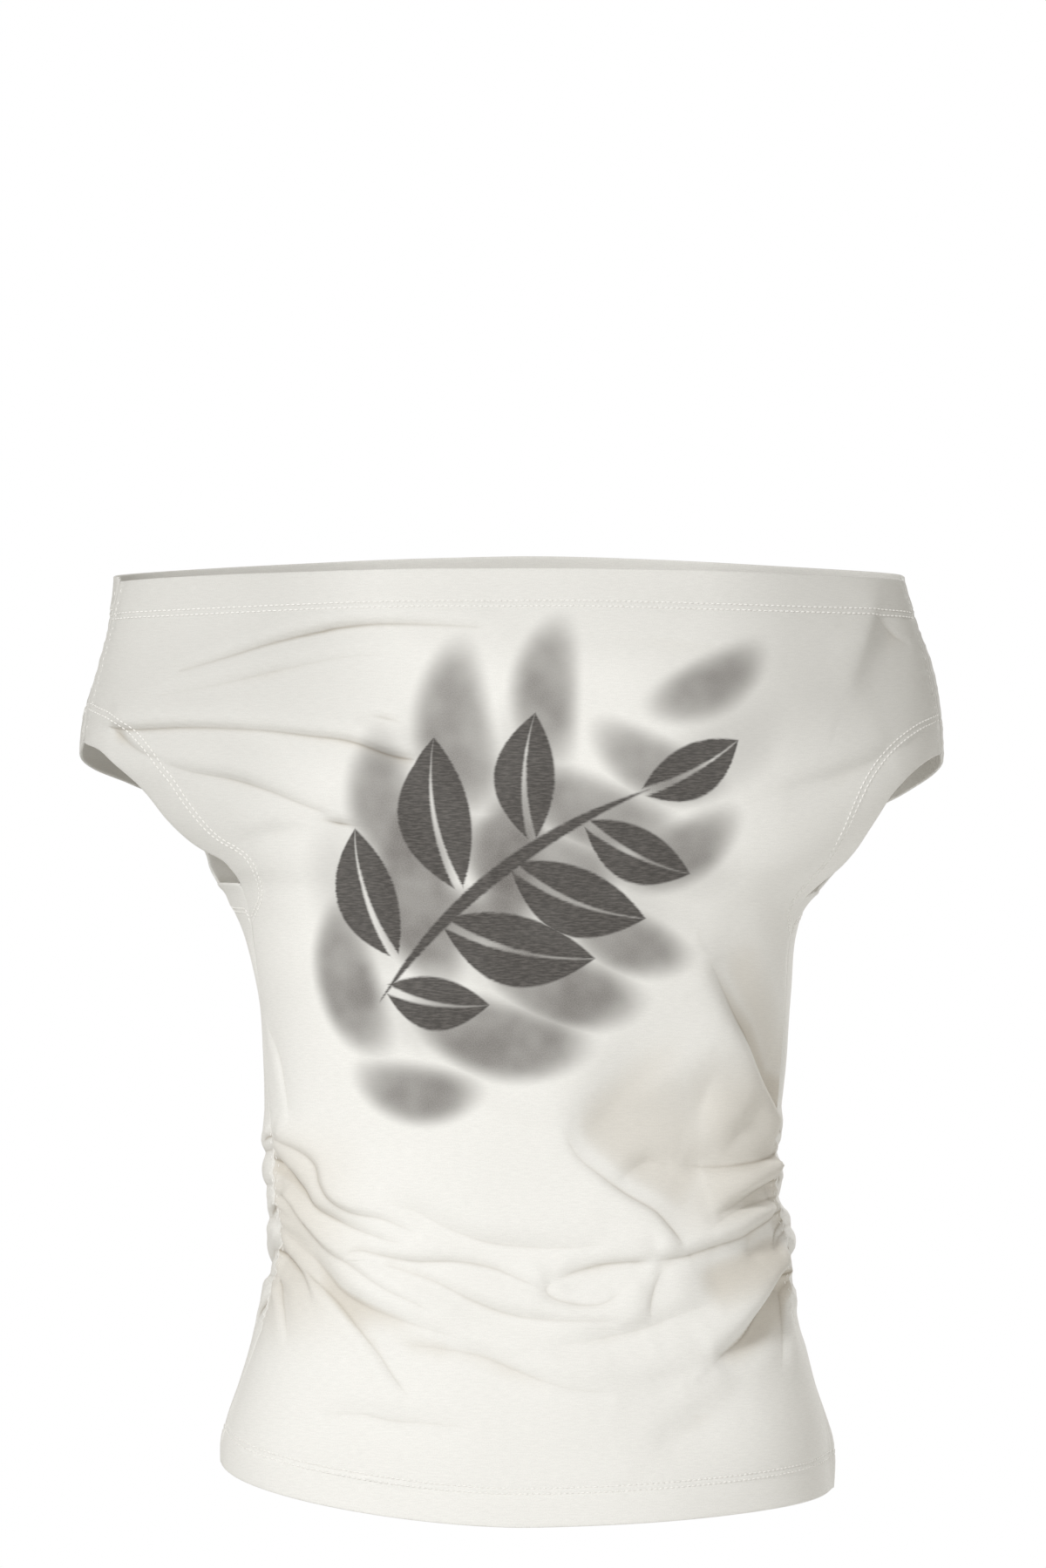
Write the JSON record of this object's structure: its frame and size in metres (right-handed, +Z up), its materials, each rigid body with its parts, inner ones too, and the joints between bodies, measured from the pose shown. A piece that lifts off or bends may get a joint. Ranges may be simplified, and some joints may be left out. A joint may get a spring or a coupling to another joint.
{
  "type": "off-shoulder t-shirt",
  "caption": "Off-shoulder sleeveless jersey t-shirt in its worn shape, with a straight wide neckline, turned hems and side seams gathered at the waist.",
  "frame": {"origin": "midway between the two upper shoulder corners, at the height of the neckline, where the wearer's shoulders hold the top up", "axes": "+Z up along the body, +X towards the viewer's right (the wearer's left), -Y out of the chest towards the viewer"},
  "size_m": [0.4474, 0.2046, 0.5001],
  "materials": {
    "front": "soft matt cotton jersey",
    "back": "soft matt cotton jersey",
    "front_neck_hem": "soft matt cotton jersey",
    "back_neck_hem": "soft matt cotton jersey",
    "front_armhole_hem_left": "soft matt cotton jersey",
    "front_armhole_hem_right": "soft matt cotton jersey",
    "back_armhole_hem_left": "soft matt cotton jersey",
    "back_armhole_hem_right": "soft matt cotton jersey",
    "front_bottom_hem": "soft matt cotton jersey",
    "back_bottom_hem": "soft matt cotton jersey"
  },
  "bodies": {
    "root": {"front": "front", "back": "back", "front_neck_hem": "front_neck_hem", "back_neck_hem": "back_neck_hem", "front_armhole_hem_left": "front_armhole_hem_left", "front_armhole_hem_right": "front_armhole_hem_right", "back_armhole_hem_left": "back_armhole_hem_left", "back_armhole_hem_right": "back_armhole_hem_right", "front_bottom_hem": "front_bottom_hem", "back_bottom_hem": "back_bottom_hem"}
  },
  "joints": []
}
